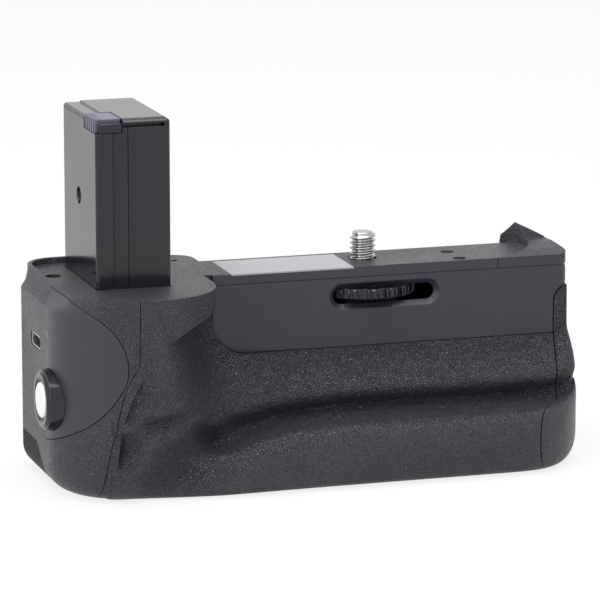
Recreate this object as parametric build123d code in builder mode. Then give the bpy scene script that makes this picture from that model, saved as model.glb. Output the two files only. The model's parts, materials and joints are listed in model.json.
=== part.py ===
from build123d import *
import math
import os

os.makedirs("parts", exist_ok=True)

# Battery grip for a small camera. Origin on the tripod screw's axis at the level of the
# top plate, +X to the battery door, +Y to the back, +Z up, millimetres.

# Body, measured from the screw's axis and down from the top plate
body_left = 83.0
body_right = 50.0
body_back = 17.0
body_height = 49.0
nose_reach = 34.6
panel_face = 10.5
plate_rear = 7.5
side_wall = 2.5
wall = 2.0
skin = 1.2
top_thickness = 2.5
joint_gap = 0.1
seam_gap = 0.2
overrun = 30.0
far = body_left + overrun

# Column under the tower
column_right = 43.2
column_left_radius = 19.0
column_right_radius = 17.0
column_back_radius = 6.0
column_foot_radius = 5.8
column_lean = 2.0
rim_drop = 4.5
rim_step = 2.6
rim_step_share = 0.7
rim_inset_back = 0.6
rim_inset_front = 4.6
rim_front_radius = 13.0
rim_back_radius = 8.0
rim_width = 1.1
fence_height = 1.3
fence_right = 52.0
fence_ramp = 12.0
fence_start = 4.0
column_width = body_left - column_right

# Core, the straight box behind the front panel
core_left = 60.0
back_fall = 4.0
back_wall = 1.6
back_top_radius = 3.0
core_foot_radius = 3.0
core_front_radius = 3.0
core_back_radius = 4.0
shoulder_right = 39.5
shoulder_front = 2.0
shoulder_radius = 5.0

# Front grip: each section is a row of shares, forward of the panel and down the body
grip_root = 8.0
grip_taper = 22.0
column_side_shares = [
    (0.93, 0.08), (0.93, 0.14), (0.93, 0.20), (0.93, 0.27), (0.93, 0.34), (0.935, 0.41),
    (0.94, 0.48), (0.945, 0.55), (0.948, 0.61), (0.945, 0.67), (0.94, 0.73), (0.935, 0.78),
    (0.925, 0.83), (0.905, 0.88), (0.88, 0.93), (0.82, 0.98), (0.71, 1.0),
]
scoop_shares = [
    (0.66, 0.08), (0.69, 0.17), (0.74, 0.26), (0.79, 0.33), (0.83, 0.40), (0.86, 0.46),
    (0.885, 0.52), (0.895, 0.58), (0.89, 0.64), (0.875, 0.70), (0.85, 0.76), (0.83, 0.81),
    (0.825, 0.85), (0.84, 0.89), (0.875, 0.93), (0.88, 0.975), (0.79, 1.0),
]
blend_shares = [
    (0.0, 0.08), (0.03, 0.20), (0.12, 0.33), (0.26, 0.42), (0.40, 0.475), (0.52, 0.52),
    (0.60, 0.565), (0.64, 0.62), (0.62, 0.68), (0.55, 0.735), (0.56, 0.775), (0.72, 0.79),
    (0.88, 0.80), (0.965, 0.85), (0.975, 0.93), (0.92, 0.98), (0.79, 1.0),
]
finger_shares = [
    (-0.03, 0.08), (-0.03, 0.235), (-0.012, 0.37), (0.025, 0.413), (0.115, 0.452),
    (0.225, 0.49), (0.33, 0.53), (0.398, 0.574), (0.375, 0.617), (0.30, 0.655), (0.42, 0.694),
    (0.72, 0.692), (0.93, 0.702), (0.996, 0.77), (0.992, 0.90), (0.925, 0.98), (0.788, 1.0),
]
end_shares = [
    (-0.03, 0.08), (-0.03, 0.235), (-0.012, 0.37), (0.04, 0.42), (0.25, 0.458),
    (0.48, 0.495), (0.68, 0.53), (0.80, 0.572), (0.78, 0.615), (0.70, 0.66), (0.74, 0.69),
    (0.85, 0.692), (0.94, 0.702), (0.996, 0.77), (0.992, 0.90), (0.925, 0.98), (0.788, 1.0),
]
end_recess_share = 0.09
# The grip's hollow in section, its points shared in the same way
cavity_shares = [
    (-0.08, 0.50), (0.06, 0.53), (0.20, 0.585), (0.16, 0.66), (0.24, 0.80), (0.80, 0.80),
    (0.84, 0.90), (0.72, 0.955), (-0.08, 0.955),
]
# Crease between the column and the grip, as shares of column width and body height
crease_shares = [
    (-0.07, 0.087), (0.0, 0.094), (0.068, 0.112), (0.143, 0.129), (0.256, 0.163), (0.387, 0.224),
    (0.462, 0.284), (0.510, 0.345), (0.553, 0.396), (0.590, 0.453), (0.626, 0.527),
    (0.666, 0.649), (0.69, 0.82), (0.70, 1.1),
]

# Seam between the left shell and the front shell, as shares of column width and body height
seam_shares = [
    (0.563, 0.312), (0.595, 0.361), (0.631, 0.418), (0.676, 0.549), (0.721, 0.722),
    (0.757, 0.886), (0.80, 1.1),
]

# Front panel and its wheel window
panel_thickness = 1.8
panel_left = 41.2
panel_depth = 19.5
panel_corner = 8.5
window_left = 10.55
window_right = 15.2
window_top = 5.15
window_bottom = 9.25
window_chamfer = 1.2
chamfer_angle = 45.0

# Rubber covering
rubber_foot = 1.5
rubber_gap = 0.15
rubber_rear = 25.0
rubber_rear_foot = 4.5

# Battery door at the right end: seam in plan, as it runs round to the front
door_thickness = 3.8
door_shoulder = (43.5, 21.0)
door_lip = (34.0, 34.6)
door_top = 7.6
door_corner = 4.5
door_gap = 0.3

# Deck, top plate and their holes
deck_right = 38.0
deck_strip = 1.0
plate_gap = 0.1
guide_hole = (-77.7, 0.5)
guide_hole_radius = 2.0
small_hole = (-45.2, 9.9)
small_hole_radius = 0.8
plate_hole_radius = 1.65
plate_holes = [(22.1, 0.6), (22.4, -7.8)]
plate_hole_depth = 1.2
screw_hole_radius = 3.5
label_left = 36.5
label_right = 5.6
label_rear = 6.1
label_thickness = 0.4

# Horn, the raised corner beside the camera's rounded end
camera_end = (29.0, 4.0)
camera_end_radius = 14.7
horn_tip = 4.7
horn_tip_left = 43.0
horn_outer_rise = 1.2
horn_outer_radius = 4.0
horn_crown = (0.0, 1.5)
horn_brow = (-6.0, 0.9)
horn_saddle = (5.2, 1.2)
horn_fin_front = 6.4
horn_fin_thickness = 2.6
horn_fin_foot = (13.0, 1.0)

# Tower, the dummy battery
tower_left = 72.0
tower_front = 19.1
tower_width = 18.2
tower_depth = 31.2
tower_height = 40.5
tower_wall = 1.5
tower_edge_radius = 1.0
lid_thickness = 1.3
lid_plug = 2.0
lid_chamfer = 1.0
lid_step = 0.4
lid_step_left = 4.0
lid_slot = 0.8
tower_floor = 2.0
foot_margin = 1.0
foot_hole_radius = 3.0
tower_fit = 0.1
tower_pin_hole = (2.7, 20.0)
tower_pin_radius = 2.1
tower_pin_depth = 0.9
groove_places = [3.7, 7.6]
groove_widths = [0.7, 0.3]
groove_depth = 0.4
contact_width = 6.5
contact_depth = 11.0
contact_height = 3.4
contact_fit = 0.1
contact_slot = 0.8
contact_slot_depth = 2.0
contact_slots = 5
contact_setback = 1.6
blade_thickness = 0.4

# Tripod screw and thumb wheel
screw_radius = 3.175
thread_pitch = 1.27
thread_depth = 0.6
screw_height = 6.6
screw_lead = 0.6
screw_plain_top = 0.4
shaft_fit = 0.05
bearing_thickness = 2.8
bearing_width = 20.0
bearing_depth = 15.0
wheel_radius = 13.0
wheel_thickness = 2.6
wheel_edge = 0.4
wheel_play = 0.15
wheel_lands = 17
land_gap = 1.5
land_depth = 1.0
rib_gap = 0.5
rib_depth = 0.5
hub_radius = 5.0
hub_height = 1.1
pivot_radius = 2.0
pivot_length = 1.9
bracket_size = 13.0

# Battery bay, inside the body
bay_wall = 1.0
bay_roof = 11.2
bay_fit = 0.1
tray_fit = 0.3
tray_wall = 1.2
tray_end = 1.4
rail_height = 5.5
battery_depth = 18.5
battery_height = 31.8
battery_length = 45.0
battery_end_gap = 0.975
battery_fit = 0.1
battery_radius = 1.5
mid_wall = 1.2
contact_pin_radius = 0.6
contact_pin_reach = 0.9
pin_pitch = 4.0
pin_count = 4
pin_level = 30.0
tray_pad = 0.3
pad_width = 2.4

# Bottom cover and its screws
cover_left = 58.0
cover_right = 32.0
cover_front = 8.0
cover_rear = 11.0
cover_radius = 2.0
cover_inset = 4.0
case_screw_radius = 0.9
case_screw_head = 1.7
case_screw_head_height = 0.9
case_screw_sink = 0.1
case_screw_fit = 0.05
case_screw_slot = 0.5

# Tripod socket in the bottom
socket_place = (0.0, -18.0)
socket_radius = 5.0
socket_bore = 3.2
socket_length = 7.0
socket_wall = 2.0
socket_fit = 0.05

# Finger panel, in the view from the front left, as shares of body left and body height
finger_edge_shares = [
    (-0.609, 0.016), (-0.554, 0.018), (-0.487, 0.024), (-0.431, 0.051),
    (-0.375, 0.096), (-0.341, 0.141), (-0.314, 0.208), (-0.300, 0.282), (-0.298, 0.331),
    (-0.302, 0.394), (-0.320, 0.461), (-0.342, 0.516), (-0.371, 0.569), (-0.408, 0.618),
    (-0.454, 0.659), (-0.516, 0.702), (-0.609, 0.75),
]
finger_start_share = 0.72
finger_gap = 0.2

# Shutter button and its collar on the left end
shutter_place = (-15.6, -26.3)
collar_radius = 7.25
collar_proud = 2.3
collar_chamfer = 0.8
button_radius = 4.4
button_fit = 0.15
button_proud = 0.3
button_dome = 1.0
button_travel = 1.0
button_flange = 1.0
button_flange_height = 0.8
button_seat_depth = 1.2
collar_flange = 0.9
stem_radius = 2.0
stem_gap = 0.15
switch_size = 6.0
switch_height = 2.0

# Connector, indicator and the board behind them
port_place = (-2.55, -14.8)
port_width = 8.9
port_height = 3.3
port_metal = 0.35
port_radius = 0.8
port_fit = 0.1
port_recess = 0.2
tongue_thickness = 0.8
tongue_width = 5.6
tongue_setback = 1.2
light_place = (-13.5, -11.0)
light_radius = 1.6
light_fit = 0.1
side_board_gap = 6.6
side_board_thickness = 1.2
side_board_front = 19.5
side_board_rear = 6.0
side_board_top = 8.5
side_board_bottom = 33.0
post_radius = 1.5
post_inset = 2.2

# Black corner cover at the back of the left end
corner_top = 39.5
corner_front = 2.3
corner_slope = (8.4, 44.3)
corner_right = 72.0

# Circuit board on the bay's end wall
board_thickness = 1.6
board_margin = 2.0
board_top = 14.0
chip_size = 7.0
chip_height = 1.2
chip_inset = 5.0

# Latch on the battery door
latch_place = (-5.5, -45.6)
latch_height = 5.2
latch_width = 6.0
latch_proud = 1.8
latch_travel = 4.0
latch_stem_height = 2.2
latch_stem_width = 4.0
latch_plate_thickness = 1.0
latch_plate_margin = 1.0
latch_gap = 0.1
latch_grooves = 3
latch_groove_depth = 0.4
latch_groove_width = 0.6
door_screw_place = (3.2, -29.0)
door_screw_spread = 24.0
door_screw_length = 3.4

# Thumb pad on the back
pad_right = 44.0
pad_left = 62.0
pad_top = 8.0
pad_bottom = 30.0
pad_thickness = 1.4
pad_proud = 0.7
pad_radius = 5.0

# Levels and walls worked out from the sizes above
door_seam = body_right - door_thickness
tray_room = battery_length * 2 + battery_end_gap * 4 + mid_wall
tray_left = tray_room + tray_wall + tray_end - door_seam
bay_left = tray_left + contact_pin_reach + tray_pad + tray_fit
inner_front = panel_face - panel_thickness
inner_back = body_back - wall
column_inset = skin + wall
horn_back = plate_rear + (body_back - plate_rear) * top_thickness / back_fall
tongue_reach = panel_face - deck_strip + plate_rear
wheel_top = top_thickness + bearing_thickness + wheel_play
wheel_bottom = wheel_top + wheel_thickness
hub_bottom = wheel_bottom + hub_height
bay_front_face = inner_front - bay_fit
bay_back_face = inner_back - bay_fit
bay_floor = body_height - wall
bay_inner_front = bay_front_face - bay_wall
bay_inner_back = bay_back_face - bay_wall
bay_inner_floor = bay_floor - bay_wall
bay_inner_roof = bay_roof + bay_wall
tray_floor = bay_inner_floor - tray_fit
battery_floor = tray_floor - tray_wall - battery_fit
tray_back = bay_inner_back - tray_fit
battery_back = tray_back - tray_wall - battery_fit
side_board_face = -body_left + side_board_gap
switch_face = side_board_face - switch_height
button_seat = -body_left + button_seat_depth
battery_front = battery_depth - battery_back
tray_front = bay_inner_front - tray_fit
tray_top = bay_inner_roof + tray_fit
tray_middle = -tray_left + tray_wall + tray_room / 2
pin_places = [
    (bay_inner_back / 2 - bay_inner_front / 2 + pin_pitch * (index - (pin_count - 1) / 2), -pin_level)
    for index in range(pin_count)
]
door_screw_places = [
    (door_screw_place[0], door_screw_place[1] + door_screw_spread / 2),
    (door_screw_place[0], door_screw_place[1] - door_screw_spread / 2),
]
post_places = [
    (side_board_rear - post_inset, -side_board_top - post_inset),
    (side_board_rear - post_inset, -side_board_bottom + post_inset),
]
cover_length = cover_left + cover_right
cover_width = cover_front + cover_rear
cover_center = (cover_right / 2 - cover_left / 2, cover_rear / 2 - cover_front / 2)
screw_span = cover_length - cover_inset * 2
screw_reach = cover_width - cover_inset * 2
case_screw_length = wall + bay_wall - case_screw_sink
pad_length = pad_left - pad_right
pad_height = pad_bottom - pad_top
pad_center = (-(pad_left + pad_right) / 2, -(pad_top + pad_bottom) / 2)
window_width = window_left + window_right
window_height = window_bottom - window_top
window_center = (window_right / 2 - window_left / 2, -(window_top + window_bottom) / 2)
tongue_length = column_right + rim_width - deck_right
tower_center = (-tower_left + tower_width / 2, -tower_front + tower_depth / 2)
tower_foot_top = top_thickness + joint_gap
tower_foot_bottom = tower_foot_top + tower_floor
case_top = tower_height - lid_thickness
lid_plug_width = tower_width - (tower_wall + contact_fit) * 2
lid_plug_depth = tower_depth - (tower_wall + contact_fit) * 2
contact_block_width = contact_width - contact_fit * 2
contact_block_depth = contact_depth - contact_setback - contact_fit
slot_pitch = contact_block_depth / contact_slots
slot_places = [
    (-tower_left + contact_fit, -tower_front + contact_setback + slot_pitch * (index + 0.5))
    for index in range(contact_slots)
]
blade_places = [(across + contact_slot_depth / 2, along) for across, along in slot_places]
rib_turn = 360 / wheel_lands / 3
latch_plate_width = latch_stem_width + latch_plate_margin * 2
latch_plate_height = latch_stem_height + latch_plate_margin * 2
latch_middle = (latch_place[0] + latch_travel / 2, latch_place[1])
screw_root = screw_radius - thread_depth
thread_turns = int((screw_height - screw_lead - screw_plain_top) / thread_pitch)
screw_profile = [(0, -hub_bottom - pivot_length), (pivot_radius, -hub_bottom - pivot_length)]
screw_profile += [(pivot_radius, -hub_bottom), (screw_radius, -hub_bottom), (screw_radius, screw_plain_top)]
for turn in range(thread_turns):
    thread_foot = screw_plain_top + thread_pitch * turn
    screw_profile.append((screw_root, thread_foot + thread_pitch / 3))
    screw_profile.append((screw_root, thread_foot + thread_pitch / 2))
    screw_profile.append((screw_radius, thread_foot + thread_pitch * 5 / 6))
    screw_profile.append((screw_radius, thread_foot + thread_pitch))
screw_profile += [(screw_radius, screw_height - screw_lead), (screw_root, screw_height), (0, screw_height)]


def share_points(shares):
    """Points in the front view from shares of the column's width and the body's height."""
    return [(-column_right - column_width * across, -body_height * down) for across, down in shares]


def mixed(first, second, second_share):
    """A section between two others."""
    return [
        (a[0] + (b[0] - a[0]) * second_share, a[1] + (b[1] - a[1]) * second_share)
        for a, b in zip(first, second)
    ]


def moved_in(points, inset):
    """The section's points moved square to their row, towards the body."""
    moved = []
    for index, (across, up) in enumerate(points):
        before = points[max(index - 1, 0)]
        after = points[min(index + 1, len(points) - 1)]
        run, rise = after[0] - before[0], after[1] - before[1]
        length = math.hypot(run, rise)
        moved.append((across - rise / length * inset, up + run / length * inset))
    return moved


def grip_sections():
    """Places along X with their section, reach share and depth share."""
    recessed = [(forward - end_recess_share, down) for forward, down in column_side_shares]
    left_shares = [
        (0.724, recessed), (0.573, column_side_shares), (0.246, scoop_shares), (0.02, blend_shares),
    ]
    groove_shares = [(-0.18, 0.45), (-0.407, 0.8), (-0.75, 1.0), (-1.25, 1.0)]
    right_shares = [
        (1.0, 1.0, 1.0, 0.0), (0.636, 0.95, 1.0, 0.0), (0.364, 0.80, 0.99, 0.2),
        (0.182, 0.60, 0.965, 0.5), (0.064, 0.40, 0.93, 1.0), (0.018, 0.26, 0.89, 1.0),
    ]
    for share, blend_share in groove_shares:
        left_shares.append((share, mixed(blend_shares, finger_shares, blend_share)))
    sections = [(-column_right - column_width * share, row, 1.0, 1.0) for share, row in left_shares]
    for share, reach_share, depth_share, end_share in right_shares:
        row = mixed(finger_shares, end_shares, end_share)
        sections.append((body_right - grip_taper * share, row, reach_share, depth_share))
    return sections


def grip_form(inset):
    """The front grip lofted through its sections, its surface moved in by the inset."""
    reach = nose_reach - panel_face
    depth = body_height - joint_gap
    with BuildPart() as form:
        for place, row, reach_share, depth_share in grip_sections():
            points = [
                (-panel_face - reach * forward * reach_share, -depth * down * depth_share)
                for forward, down in row
            ]
            points = moved_in(points, inset)
            with BuildSketch(Plane.YZ.offset(place)):
                with BuildLine():
                    Spline(*points, tangents=((0, -1), (1, 0)))
                    Polyline(points[-1], (-grip_root, points[-1][1]), (-grip_root, points[0][1]), points[0])
                make_face()
        loft()
    return form.part


def crease_region(start):
    """Everything below and right of the crease, from a depth forward."""
    crease = share_points(crease_shares)
    with BuildPart() as region:
        with BuildSketch(Plane.XZ.offset(start)):
            with BuildLine():
                Spline(*crease)
                Polyline(crease[-1], (far, crease[-1][1]), (far, crease[0][1]), crease[0])
            make_face()
        extrude(amount=far)
    return region.part


def column_form():
    """The block under the tower: a leaning base, a stepped shoulder and the deck's rim."""
    base = (0.0, 0.0, column_lean, column_back_radius, column_left_radius)
    waist = (0.0, 0.0, 0.0, column_back_radius, column_left_radius)
    rim = (rim_inset_back, rim_inset_front, 0.0, rim_back_radius, rim_front_radius)
    shoulder = [low + (high - low) * rim_step_share for low, high in zip(waist, rim)]
    rows = [(-body_height, base), (-rim_drop, waist), (-rim_step, shoulder), (0.0, rim)]
    with BuildPart() as form:
        for level, (inset_back, inset_front, lean, back_radius, front_radius) in rows:
            with BuildSketch(Plane.XY.offset(level)):
                with BuildLine():
                    FilletPolyline(
                        (-body_left + inset_back, body_back),
                        (-body_left + inset_front, -nose_reach + lean),
                        (-column_right, -nose_reach + lean),
                        (-column_right, body_back),
                        radius=[back_radius, front_radius, column_right_radius, 0],
                        close=True,
                    )
                make_face()
        loft(ruled=True)
        fillet(form.edges().group_by(Axis.Z)[0], radius=column_foot_radius)
    return form.part


def core_form():
    """The straight box behind the front panel, with a falling back edge."""
    with BuildPart() as form:
        with BuildSketch(Plane.YZ.offset(-core_left)):
            with BuildLine():
                FilletPolyline(
                    (-panel_face, 0),
                    (plate_rear, 0),
                    (body_back, -back_fall),
                    (body_back, -body_height),
                    (-panel_face, -body_height),
                    radius=[0, back_top_radius, back_top_radius, core_foot_radius, 0],
                    close=True,
                )
            make_face()
        extrude(amount=core_left + body_right)
        right_edges = form.edges().filter_by(Axis.Z).group_by(Axis.X)[-1].sort_by(Axis.Y)
        fillet(right_edges[0], radius=core_front_radius)
        right_edges = form.edges().filter_by(Axis.Z).group_by(Axis.X)[-1].sort_by(Axis.Y)
        fillet(right_edges[-1], radius=core_back_radius)
    return form.part


def shoulder_form():
    """The deck's back part, which reaches right past the column."""
    with BuildPart() as form:
        with BuildSketch(Plane.XY.offset(-body_height)):
            with BuildLine():
                FilletPolyline(
                    (-core_left, shoulder_front),
                    (-shoulder_right, shoulder_front),
                    (-shoulder_right, body_back),
                    (-core_left, body_back),
                    radius=[0, 0, shoulder_radius, 0],
                    close=True,
                )
            make_face()
        extrude(amount=body_height)
        fillet(form.edges().group_by(Axis.Z)[0].group_by(Axis.Y)[-1], radius=core_foot_radius)
    return form.part


def rim_outline(inset, level):
    """The column's outline at the deck, moved in by the inset."""
    with BuildSketch(Plane.XY.offset(level)) as outline:
        with BuildLine():
            FilletPolyline(
                (-body_left + rim_inset_back, body_back),
                (-body_left + rim_inset_front, -nose_reach),
                (-column_right, -nose_reach),
                (-column_right, body_back),
                radius=[rim_back_radius, rim_front_radius, column_right_radius, 0],
                close=True,
            )
        make_face()
        offset(amount=-inset, kind=Kind.INTERSECTION)
    return outline.sketch


def fence_form():
    """The raised rim behind the deck, whose left end ramps down to the front."""
    outer_rim = rim_outline(0, -rim_width)
    inner_rim = rim_outline(rim_width, -rim_width)
    with BuildPart() as form:
        with BuildSketch(Plane.XY.offset(-rim_width)):
            add(outer_rim)
            add(inner_rim, mode=Mode.SUBTRACT)
        extrude(amount=rim_width + fence_height)
        with BuildSketch(Plane.YZ.offset(-far)):
            with BuildLine():
                Polyline(
                    (-fence_start, -rim_width),
                    (-fence_start, 0),
                    (fence_ramp - fence_start, fence_height),
                    (far, fence_height),
                    (far, -rim_width),
                    (-fence_start, -rim_width),
                )
            make_face()
        extrude(amount=far - fence_right, mode=Mode.INTERSECT)
    return form.part


def panel_region(gap):
    """The front panel's space: its outline in the front view, from its back face forward."""
    with BuildPart() as region:
        with BuildSketch(Plane.XZ.offset(inner_front)):
            with BuildLine():
                FilletPolyline(
                    (-panel_left - gap, -top_thickness),
                    (-panel_left - gap, -panel_depth - gap),
                    (far, -panel_depth - gap),
                    (far, -top_thickness),
                    radius=[0, panel_corner + gap, 0, 0],
                    close=True,
                )
            make_face()
        extrude(amount=far)
    return region.part


def door_region(gap):
    """The battery door's space: its seam in plan and its rounded top corner in the front view."""
    with BuildPart() as region:
        with BuildSketch(Plane.XY.offset(-far)):
            with BuildLine():
                Polyline(
                    (door_seam - gap, far),
                    (door_seam - gap, -panel_face),
                    (door_shoulder[0] - gap, -door_shoulder[1]),
                    (door_lip[0] - gap, -door_lip[1]),
                    (door_lip[0] - gap, -far),
                    (far, -far),
                    (far, far),
                    (door_seam - gap, far),
                )
            make_face()
        extrude(amount=far - door_top + gap)
        with BuildSketch(Plane.XZ.offset(-far)):
            with BuildLine():
                corner = (door_seam - gap, -door_top + gap)
                start = Line((0, -far), (0, corner[1] - door_corner))
                shelf = Line(start @ 1, (corner[0], corner[1] - door_corner))
                arc = RadiusArc(shelf @ 1, (corner[0] + door_corner, corner[1]), door_corner)
                Polyline(arc @ 1, (far, corner[1]), (far, -far), (0, -far))
            make_face()
        extrude(amount=far + far, mode=Mode.INTERSECT)
    return region.part


def seam_region(shift):
    """Everything left of the seam between the left shell and the front shell."""
    seam = [(across + shift, up) for across, up in share_points(seam_shares)]
    with BuildPart() as region:
        with BuildSketch(Plane.XZ.offset(-far)):
            with BuildLine():
                Line((seam[0][0], far), seam[0])
                Spline(*seam)
                Polyline(seam[-1], (-far, seam[-1][1]), (-far, far), (seam[0][0], far))
            make_face()
        extrude(amount=far + far)
    return region.part


def back_region(gap):
    """Everything behind the top plate, with the wall above the battery door."""
    with BuildPart() as region:
        with BuildSketch(Plane.XY.offset(-far)):
            with Locations((0, plate_rear - gap)):
                Rectangle(far + far, far, align=(Align.CENTER, Align.MIN))
        extrude(amount=far + far)
        with BuildSketch(Plane.XY.offset(-door_top - door_corner)):
            with Locations((door_seam - gap, -inner_front - gap)):
                Rectangle(far, far, align=Align.MIN)
        extrude(amount=far)
    return region.part


def top_region(gap):
    """The space of the deck, the top plate and the horn, above their underside."""
    deck = rim_outline(rim_width - gap, -top_thickness)
    with BuildPart() as region:
        with BuildSketch(Plane.XY.offset(-top_thickness)):
            with Locations((camera_end[0], -far)):
                Rectangle(far, far + horn_back + gap, align=Align.MIN)
            with Locations(camera_end):
                Circle(camera_end_radius - gap, mode=Mode.SUBTRACT)
            add(deck)
            with Locations((-panel_left, -far)):
                Rectangle(far, far + plate_rear + gap, align=Align.MIN)
            with Locations((-column_right - rim_width, -panel_face + deck_strip)):
                Rectangle(column_right + rim_width, tongue_reach + gap, align=Align.MIN)
        extrude(amount=far)
    return region.part


def finger_region(gap):
    """The finger panel's space, in the view from the front left."""
    diagonal = Plane(origin=(0, 0, 0), x_dir=(1, -1, 0), z_dir=(-1, -1, 0))
    diagonal = diagonal.offset(body_left * finger_start_share)
    edge = [(body_left * across, -body_height * down) for across, down in finger_edge_shares]
    edge = moved_in(edge, gap)
    with BuildPart() as region:
        with BuildSketch(diagonal):
            with BuildLine():
                Spline(*edge)
                Line(edge[-1], edge[0])
            make_face()
        extrude(amount=far)
    return region.part


def corner_region(gap):
    """The black corner cover's space, in the view from the left."""
    with BuildPart() as region:
        with BuildSketch(Plane.YZ.offset(-far)):
            with BuildLine():
                Polyline(
                    (far, -corner_top),
                    (-corner_front, -corner_top),
                    (-corner_slope[0], -corner_slope[1]),
                    (-corner_slope[0], -far),
                    (far, -far),
                    (far, -corner_top),
                )
            make_face()
            offset(amount=gap, kind=Kind.INTERSECTION)
        extrude(amount=far - corner_right + gap)
    return region.part


def cavity_form():
    """The hollow of the body: the long box, the column's inside and the grip's inside."""
    hollow_height = body_height - wall - top_thickness
    arc_radius = column_left_radius - column_inset
    with BuildPart() as form:
        with BuildSketch(Plane.XY.offset(-body_height + wall)):
            with Locations((-bay_left - wall, -inner_front)):
                Rectangle(bay_left + wall + door_seam, inner_front + inner_back, align=Align.MIN)
            with BuildLine():
                FilletPolyline(
                    (-body_left + side_wall, inner_back),
                    (-body_left + side_wall, -nose_reach + column_inset),
                    (-body_left + column_left_radius, -nose_reach + column_inset),
                    (-tower_left + tower_width + tower_fit, -tower_front - foot_margin),
                    (-tower_left + tower_width + tower_fit, inner_back),
                    radius=[side_wall * 2, arc_radius, 0, 0, 0],
                    close=True,
                )
            make_face()
        extrude(amount=hollow_height)
        with BuildSketch(Plane.YZ.offset(-column_right + column_inset * 2)):
            with BuildLine():
                Polyline(
                    *[
                        (-panel_face - (nose_reach - panel_face) * forward, -body_height * down)
                        for forward, down in cavity_shares
                    ],
                    close=True,
                )
            make_face()
        extrude(amount=column_right - column_inset * 2 + door_lip[0] - column_inset)
        with BuildSketch(Plane.YZ.offset(-shoulder_right)):
            with BuildLine():
                Polyline(
                    (plate_rear, -back_wall),
                    (body_back, -back_fall - back_wall),
                    (body_back, 0),
                    (plate_rear, 0),
                    close=True,
                )
            make_face()
        extrude(amount=far, mode=Mode.SUBTRACT)
        with BuildSketch(Plane.XY.offset(-body_height)):
            with Locations(socket_place):
                Circle(socket_radius + socket_wall)
        extrude(amount=socket_length + wall, mode=Mode.SUBTRACT)
    return form.part


# Shared forms
column = column_form()
core = core_form()
shoulder = shoulder_form()
grip = grip_form(0)
grip_core = grip_form(skin)
crease = crease_region(grip_root)
cavity = cavity_form()
door_space = door_region(door_gap)
left_side = seam_region(-seam_gap)
left_and_gap = seam_region(0)
back_side = back_region(0)
back_and_gap = back_region(joint_gap)
top_and_gap = top_region(joint_gap)
fence = fence_form()

with BuildPart() as envelope:
    add(column)
    add(crease, mode=Mode.SUBTRACT)
    add(core)
    add(shoulder)
    add(fence)
    add(grip)

with BuildPart() as rubber_space:
    add(crease_region(panel_face - skin))
    with BuildSketch(Plane.XY.offset(-body_height - far)):
        Rectangle(far * 2, far * 2)
    extrude(amount=far + rubber_foot, mode=Mode.SUBTRACT)
    with BuildSketch(Plane.XY.offset(-body_height - far)):
        with Locations((0, -rubber_rear)):
            Rectangle(far * 2, far, align=(Align.CENTER, Align.MIN))
    extrude(amount=far + rubber_rear_foot, mode=Mode.SUBTRACT)
    add(panel_region(rubber_gap), mode=Mode.SUBTRACT)
    add(door_space, mode=Mode.SUBTRACT)
    add(grip_core, mode=Mode.SUBTRACT)

with BuildPart() as rubber_grip:
    add(grip)
    add(rubber_space.part, mode=Mode.INTERSECT)

with BuildPart() as shells:
    add(envelope.part)
    add(cavity, mode=Mode.SUBTRACT)
    add(door_space, mode=Mode.SUBTRACT)
    add(top_and_gap, mode=Mode.SUBTRACT)
    add(panel_region(joint_gap), mode=Mode.SUBTRACT)

# Left end: shell, finger panel and black corner cover
with BuildPart() as finger_panel:
    add(shells.part)
    add(left_side, mode=Mode.INTERSECT)
    add(finger_region(0), mode=Mode.INTERSECT)
    with BuildSketch(Plane.YZ.offset(-far)):
        with Locations(shutter_place):
            Circle(collar_radius + button_fit)
        with Locations(light_place):
            Circle(light_radius)
    extrude(amount=far - body_left + side_wall * 2, mode=Mode.SUBTRACT)
    with BuildSketch(Plane.YZ.offset(-body_left + side_wall)):
        with Locations(shutter_place):
            Circle(collar_radius + collar_flange + button_fit)
    extrude(amount=column_inset * 2, mode=Mode.SUBTRACT)
finger_panel.part.label = "finger_panel"

with BuildPart() as left_shell:
    add(shells.part)
    add(left_side, mode=Mode.INTERSECT)
    add(finger_region(finger_gap), mode=Mode.SUBTRACT)
    add(finger_panel.part, mode=Mode.SUBTRACT)
    add(corner_region(joint_gap), mode=Mode.SUBTRACT)
    with BuildSketch(Plane.YZ.offset(-body_left + side_wall)):
        with Locations(*post_places):
            Circle(post_radius)
    extrude(amount=side_board_gap - side_wall)
    with BuildSketch(Plane.YZ.offset(-far)):
        with Locations(port_place):
            RectangleRounded(port_width + port_fit * 2, port_height + port_fit * 2, port_radius)
        with Locations(shutter_place):
            Circle(collar_radius + button_fit)
    extrude(amount=far - body_left + column_inset, mode=Mode.SUBTRACT)
    with BuildSketch(Plane.YZ.offset(-body_left + side_wall)):
        with Locations(shutter_place):
            Circle(collar_radius + collar_flange + button_fit)
    extrude(amount=column_inset * 2, mode=Mode.SUBTRACT)
left_shell.part.label = "left_shell"

with BuildPart() as corner_cover:
    add(shells.part)
    add(left_side, mode=Mode.INTERSECT)
    add(corner_region(0), mode=Mode.INTERSECT)
corner_cover.part.label = "corner_cover"

# Front and back shells
with BuildPart() as front_shell:
    add(shells.part)
    add(left_and_gap, mode=Mode.SUBTRACT)
    add(back_and_gap, mode=Mode.SUBTRACT)
    add(rubber_space.part, mode=Mode.SUBTRACT)
    with BuildSketch(Plane.XY.offset(-body_height)):
        with Locations(socket_place):
            Circle(socket_radius + socket_fit)
    extrude(amount=socket_length, mode=Mode.SUBTRACT)
    with BuildSketch(Plane.XY.offset(-body_height)):
        with Locations(cover_center):
            RectangleRounded(cover_length + joint_gap * 2, cover_width + joint_gap * 2, cover_radius)
    extrude(amount=wall, mode=Mode.SUBTRACT)
front_shell.part.label = "front_shell"
rubber_grip.part.label = "rubber_grip"

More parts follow.
